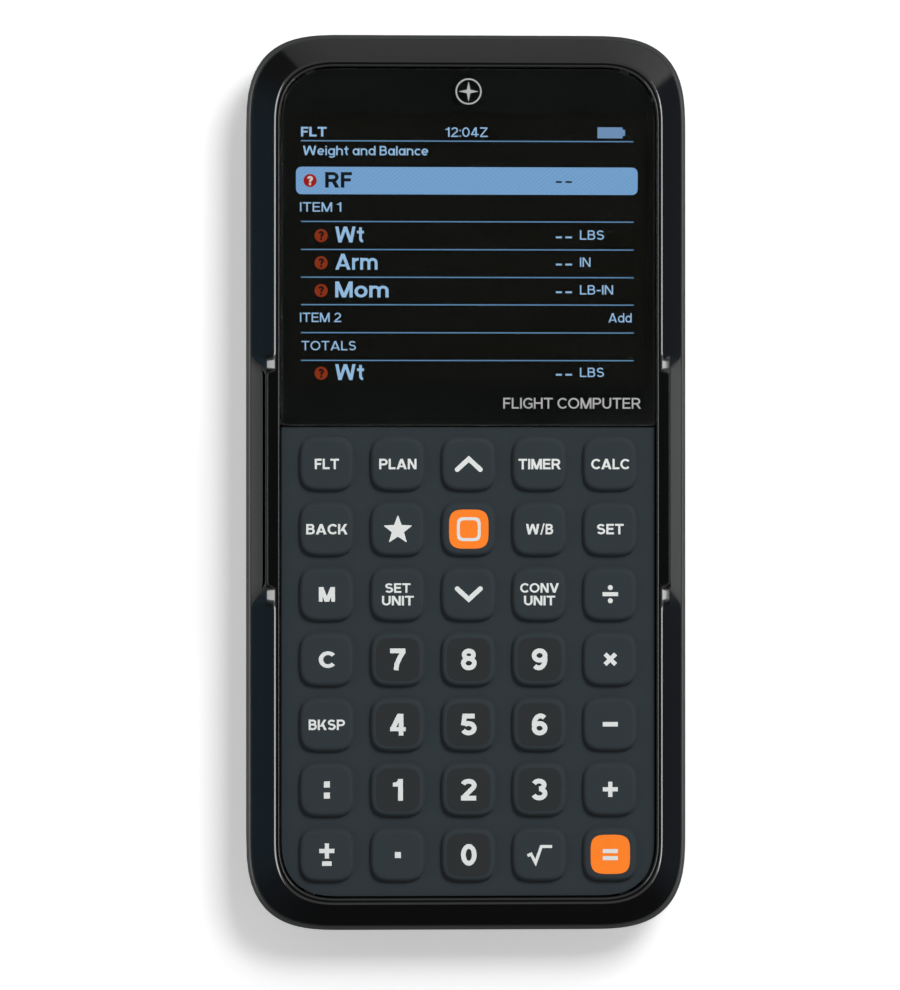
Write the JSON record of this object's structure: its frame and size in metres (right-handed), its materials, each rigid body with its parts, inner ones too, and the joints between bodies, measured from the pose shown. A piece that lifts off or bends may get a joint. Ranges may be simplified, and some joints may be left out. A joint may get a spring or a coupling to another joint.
{
  "type": "electronic flight computer",
  "caption": "Handheld electronic flight computer with a colour display above a rubber keypad, side grip notches and a sliding battery door on the back.",
  "frame": {"origin": "middle of the case's outline, level with the underside of the rubber feet", "axes": "the part lies on its back: +X to the right of the face, +Y towards the display end, +Z out of the face"},
  "size_m": [0.0874, 0.178, 0.0199],
  "materials": {
    "case_plastic": "fine moulded texture",
    "bezel_gloss": "polished",
    "window_acrylic": "polished, black printed border",
    "lcd_glass": "smooth",
    "tray_steel": "brushed",
    "flex_polyimide": "satin",
    "board_laminate": "solder mask",
    "keypad_rubber": "matte, fine texture",
    "digit_rubber": "matte, fine texture",
    "orange_rubber": "matte",
    "foot_rubber": "matte",
    "cell_jacket": "satin",
    "contact_steel": "nickel plated",
    "screw_steel": "zinc plated"
  },
  "bodies": {
    "housing": {"back_case": "case_plastic", "front_bezel": "bezel_gloss", "display_window": "window_acrylic", "lcd_panel": "lcd_glass", "lcd_frame": "tray_steel", "lcd_flex": "flex_polyimide", "main_board": "board_laminate", "keypad_mat": "keypad_rubber", "foot_left": "foot_rubber", "foot_right": "foot_rubber", "battery_1": "cell_jacket", "battery_2": "cell_jacket", "battery_3": "cell_jacket", "battery_4": "cell_jacket", "contact_positive": "contact_steel", "contact_link_1": "contact_steel", "contact_link_2": "contact_steel", "contact_link_3": "contact_steel", "contact_negative": "contact_steel", "case_screw_1": "screw_steel", "case_screw_2": "screw_steel", "case_screw_3": "screw_steel", "case_screw_4": "screw_steel"},
    "battery_door": {"battery_door": "case_plastic"},
    "key_flt": {"key_flt": "keypad_rubber"},
    "key_plan": {"key_plan": "keypad_rubber"},
    "key_up": {"key_up": "keypad_rubber"},
    "key_timer": {"key_timer": "keypad_rubber"},
    "key_calc": {"key_calc": "keypad_rubber"},
    "key_back": {"key_back": "keypad_rubber"},
    "key_star": {"key_star": "keypad_rubber"},
    "key_menu": {"key_menu": "orange_rubber"},
    "key_wb": {"key_wb": "keypad_rubber"},
    "key_set": {"key_set": "keypad_rubber"},
    "key_m": {"key_m": "keypad_rubber"},
    "key_set_unit": {"key_set_unit": "keypad_rubber"},
    "key_down": {"key_down": "keypad_rubber"},
    "key_conv_unit": {"key_conv_unit": "keypad_rubber"},
    "key_divide": {"key_divide": "keypad_rubber"},
    "key_c": {"key_c": "keypad_rubber"},
    "key_7": {"key_7": "digit_rubber"},
    "key_8": {"key_8": "digit_rubber"},
    "key_9": {"key_9": "digit_rubber"},
    "key_multiply": {"key_multiply": "keypad_rubber"},
    "key_bksp": {"key_bksp": "keypad_rubber"},
    "key_4": {"key_4": "digit_rubber"},
    "key_5": {"key_5": "digit_rubber"},
    "key_6": {"key_6": "digit_rubber"},
    "key_minus": {"key_minus": "keypad_rubber"},
    "key_colon": {"key_colon": "keypad_rubber"},
    "key_1": {"key_1": "digit_rubber"},
    "key_2": {"key_2": "digit_rubber"},
    "key_3": {"key_3": "digit_rubber"},
    "key_plus": {"key_plus": "keypad_rubber"},
    "key_sign": {"key_sign": "keypad_rubber"},
    "key_point": {"key_point": "keypad_rubber"},
    "key_0": {"key_0": "digit_rubber"},
    "key_root": {"key_root": "keypad_rubber"},
    "key_equals": {"key_equals": "orange_rubber"}
  },
  "joints": [
    {"name": "door_slide", "type": "slide", "parent": "housing", "child": "battery_door", "axis": [0, -1, 0], "range_m": [0, 0.066]},
    {"name": "press_flt", "type": "slide", "parent": "housing", "child": "key_flt", "axis": [0, 0, -1], "range_m": [0, 0.0009], "stiffness_N_per_m": 1000, "springref_m": -0.0006},
    {"name": "press_plan", "type": "slide", "parent": "housing", "child": "key_plan", "axis": [0, 0, -1], "range_m": [0, 0.0009], "stiffness_N_per_m": 1000, "springref_m": -0.0006},
    {"name": "press_up", "type": "slide", "parent": "housing", "child": "key_up", "axis": [0, 0, -1], "range_m": [0, 0.0009], "stiffness_N_per_m": 1000, "springref_m": -0.0006},
    {"name": "press_timer", "type": "slide", "parent": "housing", "child": "key_timer", "axis": [0, 0, -1], "range_m": [0, 0.0009], "stiffness_N_per_m": 1000, "springref_m": -0.0006},
    {"name": "press_calc", "type": "slide", "parent": "housing", "child": "key_calc", "axis": [0, 0, -1], "range_m": [0, 0.0009], "stiffness_N_per_m": 1000, "springref_m": -0.0006},
    {"name": "press_back", "type": "slide", "parent": "housing", "child": "key_back", "axis": [0, 0, -1], "range_m": [0, 0.0009], "stiffness_N_per_m": 1000, "springref_m": -0.0006},
    {"name": "press_star", "type": "slide", "parent": "housing", "child": "key_star", "axis": [0, 0, -1], "range_m": [0, 0.0009], "stiffness_N_per_m": 1000, "springref_m": -0.0006},
    {"name": "press_menu", "type": "slide", "parent": "housing", "child": "key_menu", "axis": [0, 0, -1], "range_m": [0, 0.0009], "stiffness_N_per_m": 1000, "springref_m": -0.0006},
    {"name": "press_wb", "type": "slide", "parent": "housing", "child": "key_wb", "axis": [0, 0, -1], "range_m": [0, 0.0009], "stiffness_N_per_m": 1000, "springref_m": -0.0006},
    {"name": "press_set", "type": "slide", "parent": "housing", "child": "key_set", "axis": [0, 0, -1], "range_m": [0, 0.0009], "stiffness_N_per_m": 1000, "springref_m": -0.0006},
    {"name": "press_m", "type": "slide", "parent": "housing", "child": "key_m", "axis": [0, 0, -1], "range_m": [0, 0.0009], "stiffness_N_per_m": 1000, "springref_m": -0.0006},
    {"name": "press_set_unit", "type": "slide", "parent": "housing", "child": "key_set_unit", "axis": [0, 0, -1], "range_m": [0, 0.0009], "stiffness_N_per_m": 1000, "springref_m": -0.0006},
    {"name": "press_down", "type": "slide", "parent": "housing", "child": "key_down", "axis": [0, 0, -1], "range_m": [0, 0.0009], "stiffness_N_per_m": 1000, "springref_m": -0.0006},
    {"name": "press_conv_unit", "type": "slide", "parent": "housing", "child": "key_conv_unit", "axis": [0, 0, -1], "range_m": [0, 0.0009], "stiffness_N_per_m": 1000, "springref_m": -0.0006},
    {"name": "press_divide", "type": "slide", "parent": "housing", "child": "key_divide", "axis": [0, 0, -1], "range_m": [0, 0.0009], "stiffness_N_per_m": 1000, "springref_m": -0.0006},
    {"name": "press_c", "type": "slide", "parent": "housing", "child": "key_c", "axis": [0, 0, -1], "range_m": [0, 0.0009], "stiffness_N_per_m": 1000, "springref_m": -0.0006},
    {"name": "press_7", "type": "slide", "parent": "housing", "child": "key_7", "axis": [0, 0, -1], "range_m": [0, 0.0009], "stiffness_N_per_m": 1000, "springref_m": -0.0006},
    {"name": "press_8", "type": "slide", "parent": "housing", "child": "key_8", "axis": [0, 0, -1], "range_m": [0, 0.0009], "stiffness_N_per_m": 1000, "springref_m": -0.0006},
    {"name": "press_9", "type": "slide", "parent": "housing", "child": "key_9", "axis": [0, 0, -1], "range_m": [0, 0.0009], "stiffness_N_per_m": 1000, "springref_m": -0.0006},
    {"name": "press_multiply", "type": "slide", "parent": "housing", "child": "key_multiply", "axis": [0, 0, -1], "range_m": [0, 0.0009], "stiffness_N_per_m": 1000, "springref_m": -0.0006},
    {"name": "press_bksp", "type": "slide", "parent": "housing", "child": "key_bksp", "axis": [0, 0, -1], "range_m": [0, 0.0009], "stiffness_N_per_m": 1000, "springref_m": -0.0006},
    {"name": "press_4", "type": "slide", "parent": "housing", "child": "key_4", "axis": [0, 0, -1], "range_m": [0, 0.0009], "stiffness_N_per_m": 1000, "springref_m": -0.0006},
    {"name": "press_5", "type": "slide", "parent": "housing", "child": "key_5", "axis": [0, 0, -1], "range_m": [0, 0.0009], "stiffness_N_per_m": 1000, "springref_m": -0.0006},
    {"name": "press_6", "type": "slide", "parent": "housing", "child": "key_6", "axis": [0, 0, -1], "range_m": [0, 0.0009], "stiffness_N_per_m": 1000, "springref_m": -0.0006},
    {"name": "press_minus", "type": "slide", "parent": "housing", "child": "key_minus", "axis": [0, 0, -1], "range_m": [0, 0.0009], "stiffness_N_per_m": 1000, "springref_m": -0.0006},
    {"name": "press_colon", "type": "slide", "parent": "housing", "child": "key_colon", "axis": [0, 0, -1], "range_m": [0, 0.0009], "stiffness_N_per_m": 1000, "springref_m": -0.0006},
    {"name": "press_1", "type": "slide", "parent": "housing", "child": "key_1", "axis": [0, 0, -1], "range_m": [0, 0.0009], "stiffness_N_per_m": 1000, "springref_m": -0.0006},
    {"name": "press_2", "type": "slide", "parent": "housing", "child": "key_2", "axis": [0, 0, -1], "range_m": [0, 0.0009], "stiffness_N_per_m": 1000, "springref_m": -0.0006},
    {"name": "press_3", "type": "slide", "parent": "housing", "child": "key_3", "axis": [0, 0, -1], "range_m": [0, 0.0009], "stiffness_N_per_m": 1000, "springref_m": -0.0006},
    {"name": "press_plus", "type": "slide", "parent": "housing", "child": "key_plus", "axis": [0, 0, -1], "range_m": [0, 0.0009], "stiffness_N_per_m": 1000, "springref_m": -0.0006},
    {"name": "press_sign", "type": "slide", "parent": "housing", "child": "key_sign", "axis": [0, 0, -1], "range_m": [0, 0.0009], "stiffness_N_per_m": 1000, "springref_m": -0.0006},
    {"name": "press_point", "type": "slide", "parent": "housing", "child": "key_point", "axis": [0, 0, -1], "range_m": [0, 0.0009], "stiffness_N_per_m": 1000, "springref_m": -0.0006},
    {"name": "press_0", "type": "slide", "parent": "housing", "child": "key_0", "axis": [0, 0, -1], "range_m": [0, 0.0009], "stiffness_N_per_m": 1000, "springref_m": -0.0006},
    {"name": "press_root", "type": "slide", "parent": "housing", "child": "key_root", "axis": [0, 0, -1], "range_m": [0, 0.0009], "stiffness_N_per_m": 1000, "springref_m": -0.0006},
    {"name": "press_equals", "type": "slide", "parent": "housing", "child": "key_equals", "axis": [0, 0, -1], "range_m": [0, 0.0009], "stiffness_N_per_m": 1000, "springref_m": -0.0006}
  ]
}
